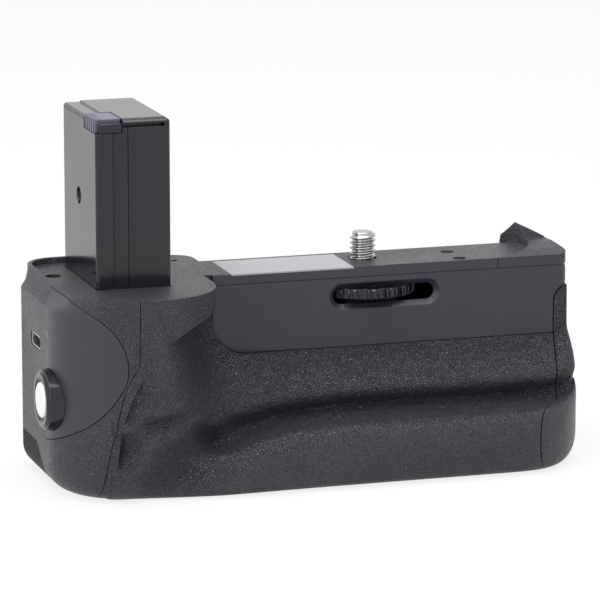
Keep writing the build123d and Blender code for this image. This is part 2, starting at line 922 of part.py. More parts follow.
with BuildPart() as back_shell:
    add(shells.part)
    add(left_and_gap, mode=Mode.SUBTRACT)
    add(back_side, mode=Mode.INTERSECT)
    with BuildSketch(Plane.XY.offset(-body_height)):
        with Locations(cover_center):
            RectangleRounded(cover_length + joint_gap * 2, cover_width + joint_gap * 2, cover_radius)
    extrude(amount=wall, mode=Mode.SUBTRACT)
    with BuildSketch(Plane.XZ.offset(-body_back)):
        with Locations(pad_center):
            RectangleRounded(pad_length, pad_height, pad_radius)
    extrude(amount=pad_thickness - pad_proud, mode=Mode.SUBTRACT)
back_shell.part.label = "back_shell"

with BuildPart() as thumb_pad:
    with BuildSketch(Plane.XZ.offset(-body_back + pad_thickness - pad_proud)):
        with Locations(pad_center):
            RectangleRounded(pad_length, pad_height, pad_radius)
    extrude(amount=-pad_thickness)
    fillet(thumb_pad.edges().group_by(Axis.Y)[-1], radius=pad_proud / 2)
thumb_pad.part.label = "thumb_pad"

# Bottom cover with four screws into the bay
with BuildPart() as bottom_cover:
    with BuildSketch(Plane.XY.offset(-body_height)):
        with Locations(cover_center):
            RectangleRounded(cover_length, cover_width, cover_radius)
    extrude(amount=wall)
    with Locations(Plane.XY.offset(-body_height + case_screw_sink)):
        with Locations(cover_center):
            with GridLocations(screw_span, screw_reach, 2, 2):
                Cylinder(case_screw_radius + case_screw_fit, wall * 2, mode=Mode.SUBTRACT)
    with BuildSketch(Plane.XY.offset(-body_height)):
        with Locations(cover_center):
            with GridLocations(screw_span, screw_reach, 2, 2):
                Circle(case_screw_head + case_screw_fit)
    extrude(amount=case_screw_sink + case_screw_head_height, mode=Mode.SUBTRACT)
bottom_cover.part.label = "bottom_cover"

with BuildPart() as case_screws:
    with BuildSketch(Plane.XY.offset(-body_height + case_screw_sink)):
        with Locations(cover_center):
            with GridLocations(screw_span, screw_reach, 2, 2):
                Circle(case_screw_head)
    extrude(amount=case_screw_head_height)
    with BuildSketch(Plane.XY.offset(-body_height + case_screw_sink)):
        with Locations(cover_center):
            with GridLocations(screw_span, screw_reach, 2, 2):
                Circle(case_screw_radius)
    extrude(amount=case_screw_length)
    with BuildSketch(Plane.XY.offset(-body_height + case_screw_sink)):
        with Locations(cover_center):
            with GridLocations(screw_span, screw_reach, 2, 2):
                Rectangle(case_screw_head, case_screw_slot)
                Rectangle(case_screw_slot, case_screw_head)
    extrude(amount=case_screw_head_height / 2, mode=Mode.SUBTRACT)
case_screws.part.label = "case_screws"

with BuildPart() as tripod_socket:
    with BuildSketch(Plane.XY.offset(-body_height)):
        with Locations(socket_place):
            Circle(socket_radius)
            Circle(socket_bore, mode=Mode.SUBTRACT)
    extrude(amount=socket_length)
tripod_socket.part.label = "tripod_socket"

# Front panel with the wheel's window
with BuildPart() as front_panel:
    add(core)
    add(panel_region(0), mode=Mode.INTERSECT)
    add(door_space, mode=Mode.SUBTRACT)
    with BuildSketch(Plane.XZ.offset(inner_front)):
        with Locations(window_center):
            SlotOverall(window_width, window_height)
    extrude(amount=panel_thickness, mode=Mode.SUBTRACT)
    with BuildSketch(Plane.XZ.offset(panel_face)):
        with Locations(window_center):
            SlotOverall(window_width + window_chamfer * 2, window_height + window_chamfer * 2)
    extrude(amount=-window_chamfer, taper=chamfer_angle, mode=Mode.SUBTRACT)
front_panel.part.label = "front_panel"

# Deck around the tower
with BuildPart() as deck_plate:
    with BuildSketch(Plane.XY.offset(-top_thickness)):
        add(rim_outline(rim_width, -top_thickness))
        with Locations((-column_right - rim_width, -panel_face + deck_strip + plate_gap)):
            Rectangle(tongue_length, tongue_reach - plate_gap, align=Align.MIN)
    extrude(amount=top_thickness)
    with BuildSketch(Plane.XY.offset(-top_thickness)):
        with Locations(tower_center):
            Rectangle(tower_width + tower_fit * 2, tower_depth + tower_fit * 2)
        with Locations(guide_hole):
            Circle(guide_hole_radius)
        with Locations(small_hole):
            Circle(small_hole_radius)
    extrude(amount=top_thickness, mode=Mode.SUBTRACT)
deck_plate.part.label = "deck_plate"

# Top plate with the screw's hole, the label's recess and two blind holes
with BuildPart() as top_plate:
    with BuildSketch(Plane.XY.offset(-top_thickness)):
        with Locations((-panel_left, -panel_face)):
            Rectangle(panel_left + camera_end[0], panel_face + plate_rear, align=Align.MIN)
        with Locations(camera_end):
            Circle(camera_end_radius - plate_gap)
        with Locations((-panel_left, -panel_face)):
            Rectangle(far, panel_face + plate_rear, align=Align.MIN, mode=Mode.INTERSECT)
        with Locations((-column_right - rim_width, -panel_face + deck_strip)):
            Rectangle(tongue_length + plate_gap, tongue_reach, align=Align.MIN, mode=Mode.SUBTRACT)
        Circle(screw_hole_radius, mode=Mode.SUBTRACT)
    extrude(amount=top_thickness)
    with BuildSketch(Plane.XY.offset(-label_thickness)):
        with Locations((-label_left, -panel_face)):
            Rectangle(label_left - label_right, panel_face + label_rear, align=Align.MIN)
    extrude(amount=label_thickness, mode=Mode.SUBTRACT)
    with BuildSketch(Plane.XY.offset(-plate_hole_depth)):
        with Locations(*plate_holes):
            Circle(plate_hole_radius)
    extrude(amount=plate_hole_depth, mode=Mode.SUBTRACT)
top_plate.part.label = "top_plate"

with BuildPart() as label_plate:
    with BuildSketch(Plane.XY.offset(-label_thickness)):
        with Locations((-label_left, -panel_face)):
            Rectangle(label_left - label_right, panel_face + label_rear, align=Align.MIN)
    extrude(amount=label_thickness)
label_plate.part.label = "label_plate"

# Horn at the right end, outside the camera's rounded end
with BuildPart() as horn:
    with BuildSketch(Plane.XY.offset(-top_thickness)) as horn_plan:
        with Locations((camera_end[0], -panel_face)):
            Rectangle(body_right - camera_end[0], panel_face + horn_back, align=Align.MIN)
        fillet(horn_plan.vertices().sort_by(Axis.X)[-2:].sort_by(Axis.Y)[0], radius=core_front_radius)
        fillet(horn_plan.vertices().sort_by(Axis.Y)[-2:].sort_by(Axis.X)[-1], radius=core_back_radius)
        with Locations(camera_end):
            Circle(camera_end_radius, mode=Mode.SUBTRACT)
    extrude(amount=top_thickness + horn_tip)
    with BuildSketch(Plane.YZ.offset(camera_end[0])):
        with BuildLine():
            Polyline(
                (-panel_face, -top_thickness),
                (-panel_face, 0),
                horn_brow,
                horn_crown,
                horn_saddle,
                (horn_fin_front, horn_tip),
                (horn_fin_front + horn_fin_thickness, horn_tip),
                horn_fin_foot,
                (horn_back, -top_thickness),
                (-panel_face, -top_thickness),
            )
        make_face()
    extrude(amount=far, mode=Mode.INTERSECT)
    with BuildSketch(Plane.XZ.offset(-far)):
        with BuildLine():
            FilletPolyline(
                (camera_end[0], -top_thickness),
                (camera_end[0], horn_tip),
                (horn_tip_left, horn_tip),
                (body_right, horn_outer_rise),
                (body_right, -top_thickness),
                radius=[0, 0, 0, horn_outer_radius / 2, 0],
                close=True,
            )
        make_face()
    extrude(amount=far * 2, mode=Mode.INTERSECT)
horn.part.label = "horn"

# Tower: case with a foot under the deck, lid, contact block and blades
with BuildPart() as tower_case:
    with BuildSketch(Plane.XY.offset(-tower_foot_bottom)):
        with Locations((-tower_left - foot_margin, -tower_front - foot_margin)):
            Rectangle(tower_width + foot_margin, tower_depth + foot_margin * 2, align=Align.MIN)
    extrude(amount=tower_floor)
    with BuildSketch(Plane.XY.offset(-tower_foot_top)):
        with Locations(tower_center):
            RectangleRounded(tower_width, tower_depth, tower_edge_radius)
    extrude(amount=tower_foot_top + case_top)
    with BuildSketch(Plane.XY.offset(-tower_foot_top)):
        with Locations(tower_center):
            Rectangle(tower_width - tower_wall * 2, tower_depth - tower_wall * 2)
    extrude(amount=tower_foot_top + case_top, mode=Mode.SUBTRACT)
    with BuildSketch(Plane.XY.offset(tower_height - contact_height)):
        with Locations((-tower_left, -tower_front)):
            Rectangle(contact_width, contact_depth, align=Align.MIN)
    extrude(amount=contact_height, mode=Mode.SUBTRACT)
    with BuildSketch(Plane.XY.offset(case_top - lid_slot)):
        with Locations((-tower_left + contact_width, -tower_front)):
            Rectangle(tower_width - contact_width - tower_wall, tower_wall, align=Align.MIN)
    extrude(amount=lid_slot, mode=Mode.SUBTRACT)
    for place, width in zip(groove_places, groove_widths):
        with BuildSketch(Plane.XY):
            with Locations((-tower_left + place, -tower_front)):
                Rectangle(width, groove_depth, align=Align.MIN)
        extrude(amount=tower_height, mode=Mode.SUBTRACT)
    with BuildSketch(Plane.YZ.offset(-tower_left)):
        with Locations((-tower_pin_hole[0], tower_pin_hole[1])):
            Circle(tower_pin_radius)
    extrude(amount=tower_pin_depth, mode=Mode.SUBTRACT)
    with BuildSketch(Plane.XY.offset(-tower_foot_bottom)):
        with Locations(tower_center):
            Circle(foot_hole_radius)
    extrude(amount=tower_floor, mode=Mode.SUBTRACT)
tower_case.part.label = "tower_case"

with BuildPart() as tower_lid:
    with BuildSketch(Plane.XY.offset(case_top)):
        with Locations(tower_center):
            RectangleRounded(tower_width, tower_depth, tower_edge_radius)
    extrude(amount=lid_thickness - lid_step)
    lid_edges = tower_lid.edges().filter_by(Axis.Y).group_by(Axis.X)[0].sort_by(Axis.Z)
    chamfer(lid_edges[-1], length=lid_chamfer / 2)
    with BuildSketch(Plane.XY.offset(case_top)):
        with Locations((-tower_left + lid_step_left, -tower_front + tower_edge_radius)):
            Rectangle(
                tower_width - lid_step_left - tower_edge_radius,
                tower_depth - tower_edge_radius * 2,
                align=Align.MIN,
            )
    extrude(amount=lid_thickness)
    with BuildSketch(Plane.XY.offset(case_top - lid_plug)):
        with Locations(tower_center):
            Rectangle(lid_plug_width, lid_plug_depth)
    extrude(amount=lid_plug)
    with BuildSketch(Plane.XY.offset(case_top - lid_plug)):
        with Locations((-tower_left, -tower_front)):
            Rectangle(contact_width + contact_fit, contact_depth + contact_fit, align=Align.MIN)
    extrude(amount=lid_plug + lid_thickness, mode=Mode.SUBTRACT)
tower_lid.part.label = "tower_lid"

with BuildPart() as contact_block:
    with BuildSketch(Plane.XY.offset(tower_height - contact_height)):
        with Locations((-tower_left + contact_fit, -tower_front + contact_setback)):
            Rectangle(contact_block_width, contact_block_depth, align=Align.MIN)
    extrude(amount=contact_height - contact_fit)
    with BuildSketch(Plane.XY.offset(tower_height - contact_height)):
        with Locations(*slot_places):
            Rectangle(contact_slot_depth, contact_slot, align=(Align.MIN, Align.CENTER))
    extrude(amount=contact_height, mode=Mode.SUBTRACT)
contact_block.part.label = "contact_block"

with BuildPart() as contact_blades:
    with BuildSketch(Plane.XY.offset(tower_height - contact_height + contact_fit)):
        with Locations(*blade_places):
            Rectangle(contact_slot_depth / 2, blade_thickness, align=(Align.MIN, Align.CENTER))
    extrude(amount=contact_height - contact_fit * 3)
contact_blades.part.label = "contact_blades"

with BuildPart() as tower_board:
    with BuildSketch(Plane.XY.offset(-tower_foot_top)):
        with Locations(tower_center):
            Rectangle(board_thickness, tower_depth / 2)
    extrude(amount=tower_foot_top + tower_height - contact_height - contact_fit)
    with BuildSketch(Plane.XY.offset(-tower_foot_top)):
        with Locations(tower_center):
            Circle(foot_hole_radius + contact_fit)
    extrude(amount=contact_fit, mode=Mode.SUBTRACT)
tower_board.part.label = "tower_board"

# Tripod screw, its bearing, the thumb wheel and the bracket under it
with BuildPart() as screw_bearing:
    with BuildSketch(Plane.XY.offset(-top_thickness - bearing_thickness)):
        Rectangle(bearing_width, bearing_depth)
        Circle(screw_radius + shaft_fit, mode=Mode.SUBTRACT)
    extrude(amount=bearing_thickness)
screw_bearing.part.label = "screw_bearing"

with BuildPart() as tripod_screw:
    with BuildSketch(Plane.XZ):
        with BuildLine():
            Polyline(*screw_profile, close=True)
        make_face()
    revolve(axis=Axis.Z)
tripod_screw.part.label = "tripod_screw"

with BuildPart() as thumb_wheel:
    with BuildSketch(Plane.XY.offset(-wheel_bottom)):
        Circle(wheel_radius)
    extrude(amount=wheel_thickness)
    chamfer(thumb_wheel.edges().filter_by(GeomType.CIRCLE), length=wheel_edge)
    with BuildSketch(Plane.XY.offset(-hub_bottom)):
        Circle(hub_radius)
    extrude(amount=hub_height)
    with BuildSketch(Plane.XY.offset(-hub_bottom)):
        Circle(screw_radius + shaft_fit)
    extrude(amount=hub_height + wheel_thickness, mode=Mode.SUBTRACT)
    with BuildSketch(Plane.XY.offset(-wheel_bottom)):
        with PolarLocations(wheel_radius, wheel_lands):
            Rectangle(land_depth * 2, land_gap)
        with PolarLocations(wheel_radius, wheel_lands, start_angle=rib_turn):
            Rectangle(rib_depth * 2, rib_gap)
        with PolarLocations(wheel_radius, wheel_lands, start_angle=-rib_turn):
            Rectangle(rib_depth * 2, rib_gap)
    extrude(amount=wheel_thickness, mode=Mode.SUBTRACT)
thumb_wheel.part.label = "thumb_wheel"

with BuildPart() as wheel_bracket:
    with BuildSketch(Plane.XY.offset(-bay_roof)):
        Rectangle(bracket_size, bracket_size)
        Circle(pivot_radius + shaft_fit, mode=Mode.SUBTRACT)
    extrude(amount=bay_roof - hub_bottom - wheel_play)
wheel_bracket.part.label = "wheel_bracket"

# Battery bay with its end contacts and circuit board
with BuildPart() as battery_bay:
    with BuildSketch(Plane.YZ.offset(-bay_left - bay_wall)):
        with Locations((-bay_front_face, -bay_floor)):
            Rectangle(bay_front_face + bay_back_face, bay_floor - bay_roof, align=Align.MIN)
    extrude(amount=bay_left + bay_wall + door_seam - door_gap)
    with BuildSketch(Plane.YZ.offset(-bay_left)):
        with Locations((-bay_inner_front, -bay_inner_floor)):
            Rectangle(
                bay_inner_front + bay_inner_back, bay_inner_floor - bay_inner_roof, align=Align.MIN
            )
    extrude(amount=far, mode=Mode.SUBTRACT)
    with BuildSketch(Plane.YZ.offset(-bay_left - bay_wall)):
        with Locations(*pin_places):
            Circle(contact_pin_radius + shaft_fit)
    extrude(amount=bay_wall, mode=Mode.SUBTRACT)
    with BuildSketch(Plane.XY.offset(-bay_floor)):
        with Locations(cover_center):
            with GridLocations(screw_span, screw_reach, 2, 2):
                Circle(case_screw_radius + case_screw_fit)
    extrude(amount=bay_wall, mode=Mode.SUBTRACT)
battery_bay.part.label = "battery_bay"

with BuildPart() as bay_pins:
    with BuildSketch(Plane.YZ.offset(-bay_left - bay_wall)):
        with Locations(*pin_places):
            Circle(contact_pin_radius)
    extrude(amount=bay_wall + contact_pin_reach)
bay_pins.part.label = "bay_pins"

with BuildPart() as circuit_board:
    with BuildSketch(Plane.YZ.offset(-bay_left - bay_wall - board_thickness)):
        with Locations((-bay_front_face + board_margin, -bay_floor + board_margin)):
            Rectangle(
                bay_front_face + bay_back_face - board_margin * 2,
                bay_floor - board_margin - board_top,
                align=Align.MIN,
            )
    extrude(amount=board_thickness)
    with BuildSketch(Plane.YZ.offset(-bay_left - bay_wall - board_thickness)):
        with Locations((0, -board_top - chip_inset), (0, -bay_floor + board_margin + chip_inset)):
            Rectangle(chip_size, chip_size)
    extrude(amount=-chip_height)
circuit_board.part.label = "circuit_board"

# Sliding tray, its contacts and two batteries
with BuildPart() as battery_tray:
    with BuildSketch(Plane.YZ.offset(-tray_left)):
        with Locations((-tray_front, -tray_floor)):
            Rectangle(tray_front + tray_back, tray_floor - tray_top, align=Align.MIN)
    extrude(amount=tray_left + door_seam)
    with BuildSketch(Plane.YZ.offset(-tray_left + tray_wall)):
        with Locations((-battery_front - battery_fit, -tray_floor + tray_wall)):
            Rectangle(
                battery_depth + battery_fit * 2, tray_floor - tray_wall - tray_top, align=Align.MIN
            )
    extrude(amount=tray_left - tray_wall + door_seam - tray_end, mode=Mode.SUBTRACT)
    with BuildSketch(Plane.YZ.offset(-tray_left + tray_wall)):
        with Locations((-far, -tray_floor + rail_height)):
            Rectangle(far, far, align=Align.MIN)
    extrude(amount=tray_left - tray_wall + door_seam - tray_end, mode=Mode.SUBTRACT)
    with BuildSketch(Plane.YZ.offset(tray_middle - mid_wall / 2)):
        with Locations((-battery_front - battery_fit, -tray_floor + tray_wall)):
            Rectangle(battery_depth + battery_fit * 2, rail_height * 2, align=Align.MIN)
    extrude(amount=mid_wall)
    with BuildSketch(Plane.YZ.offset(door_seam - tray_end)):
        with Locations(*door_screw_places):
            Circle(case_screw_radius + case_screw_fit)
    extrude(amount=tray_end, mode=Mode.SUBTRACT)
    with BuildSketch(Plane.YZ.offset(door_seam - tray_end)):
        with Locations(*door_screw_places):
            Circle(case_screw_head + case_screw_fit)
    extrude(amount=case_screw_head_height, mode=Mode.SUBTRACT)
battery_tray.part.label = "battery_tray"

with BuildPart() as tray_contacts:
    with BuildSketch(Plane.YZ.offset(-tray_left)):
        with Locations(*pin_places):
            Rectangle(pad_width, pad_width)
    extrude(amount=-tray_pad)
tray_contacts.part.label = "tray_contacts"

batteries = []
for name, start in (("battery_inner", -tray_left + tray_wall), ("battery_outer", tray_middle + mid_wall / 2)):
    with BuildPart() as battery:
        with BuildSketch(Plane.YZ.offset(start + battery_end_gap)):
            with Locations((-battery_front + battery_depth / 2, -battery_floor + battery_height / 2)):
                RectangleRounded(battery_depth, battery_height, battery_radius)
        extrude(amount=battery_length)
    battery.part.label = name
    batteries.append(battery)

# Battery door with the latch and the screws that hold the tray
with BuildPart() as battery_door:
    add(envelope.part)
    add(door_region(0), mode=Mode.INTERSECT)
    with BuildSketch(Plane.YZ.offset(door_seam)):
        with Locations(latch_middle):
            Rectangle(latch_plate_width + latch_travel + latch_gap * 2, latch_plate_height + latch_gap * 2)
    extrude(amount=latch_plate_thickness + latch_gap * 2, mode=Mode.SUBTRACT)
    with BuildSketch(Plane.YZ.offset(door_seam)):
        with Locations(latch_middle):
            Rectangle(latch_stem_width + latch_travel + latch_gap * 2, latch_stem_height + latch_gap * 2)
    extrude(amount=far, mode=Mode.SUBTRACT)
    with BuildSketch(Plane.YZ.offset(door_seam)):
        with Locations(*door_screw_places):
            Circle(case_screw_radius + case_screw_fit)
    extrude(amount=door_screw_length, mode=Mode.SUBTRACT)
battery_door.part.label = "battery_door"

with BuildPart() as door_screws:
    with BuildSketch(Plane.YZ.offset(door_seam - tray_end)):
        with Locations(*door_screw_places):
            Circle(case_screw_head)
    extrude(amount=case_screw_head_height)
    with BuildSketch(Plane.YZ.offset(door_seam - tray_end)):
        with Locations(*door_screw_places):
            Circle(case_screw_radius)
    extrude(amount=tray_end + door_screw_length - case_screw_fit)
door_screws.part.label = "door_screws"

with BuildPart() as latch:
    with BuildSketch(Plane.YZ.offset(door_seam + latch_gap)):
        with Locations(latch_place):
            Rectangle(latch_plate_width, latch_plate_height)
    extrude(amount=latch_plate_thickness)
    with BuildSketch(Plane.YZ.offset(door_seam + latch_gap)):
        with Locations(latch_place):
            Rectangle(latch_stem_width, latch_stem_height)
    extrude(amount=body_right - door_seam)
    with BuildSketch(Plane.YZ.offset(body_right + latch_gap)):
        with Locations(latch_place):
            RectangleRounded(latch_width, latch_height, latch_proud / 2)
    extrude(amount=latch_proud)
    with BuildSketch(Plane.YZ.offset(body_right + latch_gap + latch_proud)):
        with Locations(latch_place):
            with GridLocations(latch_groove_width * 2, 0, latch_grooves, 1):
                Rectangle(latch_groove_width, latch_height)
    extrude(amount=-latch_groove_depth, mode=Mode.SUBTRACT)
latch.part.label = "latch"

# Shutter button in its collar, over a switch on the side board
with BuildPart() as shutter_collar:
    with BuildSketch(Plane.YZ.offset(-body_left - collar_proud)):
        with Locations(shutter_place):
            Circle(collar_radius)
    extrude(amount=collar_proud + side_wall + button_fit)
    with BuildSketch(Plane.YZ.offset(-body_left + side_wall + button_fit)):
        with Locations(shutter_place):
            Circle(collar_radius + collar_flange)
    extrude(amount=collar_flange)
    with BuildSketch(Plane.YZ.offset(-body_left - collar_proud)):
        with Locations(shutter_place):
            Circle(button_radius + button_fit)
    extrude(amount=far, mode=Mode.SUBTRACT)
    with BuildSketch(Plane.YZ.offset(button_seat - button_fit)):
        with Locations(shutter_place):
            Circle(button_radius + button_flange + button_fit)
    extrude(amount=far, mode=Mode.SUBTRACT)
    rims = shutter_collar.edges().filter_by(GeomType.CIRCLE).group_by(Axis.X)[0].sort_by(SortBy.LENGTH)
    chamfer(rims, length=collar_chamfer)
shutter_collar.part.label = "shutter_collar"

with BuildPart() as shutter_button:
    with BuildSketch(Plane.YZ.offset(-body_left - collar_proud - button_proud)):
        with Locations(shutter_place):
            Circle(button_radius)
    extrude(amount=button_seat + button_flange_height + body_left + collar_proud + button_proud)
    fillet(shutter_button.edges().group_by(Axis.X)[0], radius=button_dome)
    with BuildSketch(Plane.YZ.offset(button_seat)):
        with Locations(shutter_place):
            Circle(button_radius + button_flange)
    extrude(amount=button_flange_height)
    with BuildSketch(Plane.YZ.offset(button_seat)):
        with Locations(shutter_place):
            Circle(stem_radius)
    extrude(amount=switch_face - button_travel - stem_gap - button_seat)
shutter_button.part.label = "shutter_button"

with BuildPart() as side_board:
    with BuildSketch(Plane.YZ.offset(side_board_face)):
        with Locations((-side_board_front, -side_board_bottom)):
            Rectangle(
                side_board_front + side_board_rear, side_board_bottom - side_board_top, align=Align.MIN
            )
    extrude(amount=side_board_thickness)
side_board.part.label = "side_board"

with BuildPart() as shutter_switch:
    with BuildSketch(Plane.YZ.offset(side_board_face)):
        with Locations(shutter_place):
            Rectangle(switch_size, switch_size)
    extrude(amount=-switch_height)
    fillet(shutter_switch.edges().filter_by(Axis.X), radius=port_radius)
shutter_switch.part.label = "shutter_switch"

with BuildPart() as port_shell:
    with BuildSketch(Plane.YZ.offset(-body_left + port_recess)):
        with Locations(port_place):
            RectangleRounded(port_width, port_height, port_radius)
    extrude(amount=side_board_gap - port_recess)
    with BuildSketch(Plane.YZ.offset(-body_left + port_recess)):
        with Locations(port_place):
            RectangleRounded(
                port_width - port_metal * 2, port_height - port_metal * 2, port_radius - port_metal
            )
    extrude(amount=side_board_gap - port_recess - port_metal, mode=Mode.SUBTRACT)
port_shell.part.label = "port_shell"

with BuildPart() as port_tongue:
    with BuildSketch(Plane.YZ.offset(-body_left + port_recess + tongue_setback)):
        with Locations(port_place):
            Rectangle(tongue_width, tongue_thickness)
    extrude(amount=side_board_gap - port_recess - port_metal - tongue_setback)
port_tongue.part.label = "port_tongue"

with BuildPart() as indicator_light:
    with BuildSketch(Plane.YZ.offset(-body_left)):
        with Locations(light_place):
            Circle(light_radius - light_fit)
    extrude(amount=side_board_gap)
indicator_light.part.label = "indicator_light"

pieces = [
    left_shell, finger_panel, corner_cover, front_shell, rubber_grip, back_shell, thumb_pad,
    bottom_cover, case_screws, tripod_socket, front_panel, deck_plate, top_plate, label_plate, horn,
    tower_case, tower_lid, contact_block, contact_blades, tower_board, screw_bearing, tripod_screw,
    thumb_wheel, wheel_bracket, battery_bay, bay_pins, circuit_board, battery_tray, tray_contacts,
    battery_door, door_screws, latch, shutter_collar, shutter_button, side_board, shutter_switch,
    port_shell, port_tongue, indicator_light,
]
for piece in pieces + batteries:
    export_step(piece.part, f"parts/{piece.part.label}.step")
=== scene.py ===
import json
import math

import bpy
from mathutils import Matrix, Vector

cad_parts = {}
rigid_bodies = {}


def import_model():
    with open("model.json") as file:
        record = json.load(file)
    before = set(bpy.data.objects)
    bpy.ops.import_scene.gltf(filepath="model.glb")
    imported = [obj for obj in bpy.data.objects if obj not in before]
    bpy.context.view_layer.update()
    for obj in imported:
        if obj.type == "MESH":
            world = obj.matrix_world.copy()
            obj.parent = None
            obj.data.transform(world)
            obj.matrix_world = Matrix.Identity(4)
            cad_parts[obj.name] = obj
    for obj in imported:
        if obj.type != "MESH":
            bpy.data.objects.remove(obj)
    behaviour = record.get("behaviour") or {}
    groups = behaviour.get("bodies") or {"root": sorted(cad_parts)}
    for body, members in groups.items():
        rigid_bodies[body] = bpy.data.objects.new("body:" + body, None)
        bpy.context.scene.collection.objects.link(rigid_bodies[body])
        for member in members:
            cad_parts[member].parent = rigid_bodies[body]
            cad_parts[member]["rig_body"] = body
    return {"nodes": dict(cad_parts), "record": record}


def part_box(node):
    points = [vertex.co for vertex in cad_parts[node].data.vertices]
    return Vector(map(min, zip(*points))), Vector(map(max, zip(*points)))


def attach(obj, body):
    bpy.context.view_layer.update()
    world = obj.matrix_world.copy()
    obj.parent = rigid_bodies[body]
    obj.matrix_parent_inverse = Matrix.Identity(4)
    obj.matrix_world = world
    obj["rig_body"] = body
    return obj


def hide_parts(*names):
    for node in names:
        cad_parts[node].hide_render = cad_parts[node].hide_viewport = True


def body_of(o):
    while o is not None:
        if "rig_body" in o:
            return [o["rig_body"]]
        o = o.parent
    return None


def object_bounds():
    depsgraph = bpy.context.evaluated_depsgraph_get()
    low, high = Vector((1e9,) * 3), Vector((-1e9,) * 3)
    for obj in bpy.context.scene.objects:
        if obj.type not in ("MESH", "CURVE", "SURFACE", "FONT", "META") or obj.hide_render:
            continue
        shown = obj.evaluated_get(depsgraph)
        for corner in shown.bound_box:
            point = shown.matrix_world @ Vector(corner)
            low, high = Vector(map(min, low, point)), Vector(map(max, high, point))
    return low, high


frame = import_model()
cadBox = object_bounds()
nodes = frame["nodes"]


# Shared helpers for shader nodes

def mathNode(tree, operation, first, second=None, third=None):
    node = tree.nodes.new("ShaderNodeMath")
    node.operation = operation
    for index, value in enumerate((first, second, third)):
        if value is None:
            continue
        if isinstance(value, (int, float)):
            node.inputs[index].default_value = value
        else:
            tree.links.new(value, node.inputs[index])
    return node.outputs[0]


def rangeNode(tree, value, low, high, toLow=0.0, toHigh=1.0):
    node = tree.nodes.new("ShaderNodeMapRange")
    node.interpolation_type = "SMOOTHSTEP"
    tree.links.new(value, node.inputs["Value"])
    node.inputs["From Min"].default_value = low
    node.inputs["From Max"].default_value = high
    node.inputs["To Min"].default_value = toLow
    node.inputs["To Max"].default_value = toHigh
    return node.outputs["Result"]


def noiseNode(tree, vector, scale, detail=3.0, roughness=0.5):
    node = tree.nodes.new("ShaderNodeTexNoise")
    tree.links.new(vector, node.inputs["Vector"])
    if isinstance(scale, (int, float)):
        node.inputs["Scale"].default_value = scale
    else:
        tree.links.new(scale, node.inputs["Scale"])
    node.inputs["Detail"].default_value = detail
    node.inputs["Roughness"].default_value = roughness
    return node.outputs["Fac"]


def vectorNode(tree, operation, first, second=None):
    node = tree.nodes.new("ShaderNodeVectorMath")
    node.operation = operation
    tree.links.new(first, node.inputs[0])
    if isinstance(second, tuple):
        node.inputs[1].default_value = second
    elif second is not None:
        tree.links.new(second, node.inputs[1])
    return node


# One where the eye, a reflection or a clear material sees the surface, else zero
def seenNode(tree):
    rays = tree.nodes.new("ShaderNodeLightPath")
    seenByEye = mathNode(tree, "MAXIMUM", rays.outputs["Is Camera Ray"], rays.outputs["Is Glossy Ray"])
    return mathNode(tree, "MAXIMUM", seenByEye, rays.outputs["Is Transmission Ray"])


# Shared helpers for modelling

smoothAngle = math.radians(35.0)
facingLimit = 0.9


def deselectAll():
    if bpy.context.object and bpy.context.object.mode != "OBJECT":
        bpy.ops.object.mode_set(mode="OBJECT")
    bpy.ops.object.select_all(action="DESELECT")


def makeActive(piece):
    deselectAll()
    piece.select_set(True)
    bpy.context.view_layer.objects.active = piece


# Leaves the piece in edit mode with only the faces that point up or down selected
def selectFacing(piece, upOrDown):
    bpy.ops.object.mode_set(mode="EDIT")
    bpy.ops.mesh.select_mode(type="FACE")
    bpy.ops.mesh.select_all(action="DESELECT")
    bpy.ops.object.mode_set(mode="OBJECT")
    for face in piece.data.polygons:
        face.select = face.normal.z * upOrDown > facingLimit
    bpy.ops.object.mode_set(mode="EDIT")


print("stage: camera, lamps and floor")

view = {
    "lens": 252.0,
    "sensor": 36.0,
    "place": (-0.3160, -0.9567, 0.2011),
    "pitch": 11.87,
    "yaw": 17.41,
    "near": 0.05,
    "far": 50.0,
}
studio = {
    "floorSize": 8.0,
    "floorGap": 0.0002,
    "floorColour": (0.86, 0.86, 0.86, 1.0),
    "floorGlow": 0.82,
    "worldColour": (1.0, 1.0, 1.0, 1.0),
    "worldSeen": 1.0,
    "worldLight": 0.46,
}
lamps = {
    "topLamp": {"place": (-0.10, -0.10, 0.95), "size": 1.1, "power": 12.5},
    "sideLamp": {"place": (-0.85, -0.55, 0.35), "size": 0.7, "power": 3.0},
}

cameraData = bpy.data.cameras.new("camera")
cameraData.lens = view["lens"]
cameraData.sensor_width = view["sensor"]
cameraData.clip_start = view["near"]
cameraData.clip_end = view["far"]
camera = bpy.data.objects.new("camera", cameraData)
bpy.context.scene.collection.objects.link(camera)
camera.location = view["place"]
camera.rotation_euler = (math.radians(90.0 - view["pitch"]), 0.0, math.radians(-view["yaw"]))
bpy.context.scene.camera = camera
bpy.context.scene.view_settings.view_transform = "Standard"


def addLamp(name, look, aim):
    lampData = bpy.data.lights.new(name, "AREA")
    lampData.shape = "SQUARE"
    lampData.size = look["size"]
    lampData.energy = look["power"]
    lamp = bpy.data.objects.new(name, lampData)
    bpy.context.scene.collection.objects.link(lamp)
    lamp.location = look["place"]
    direction = lamp.location - aim
    lamp.rotation_euler = direction.to_track_quat("Z", "Y").to_euler()


panelLow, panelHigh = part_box("front_panel")
partMiddle = (nodes["front_panel"].location + panelLow + panelHigh) / 2
for lampName, look in lamps.items():
    addLamp(lampName, look, partMiddle)

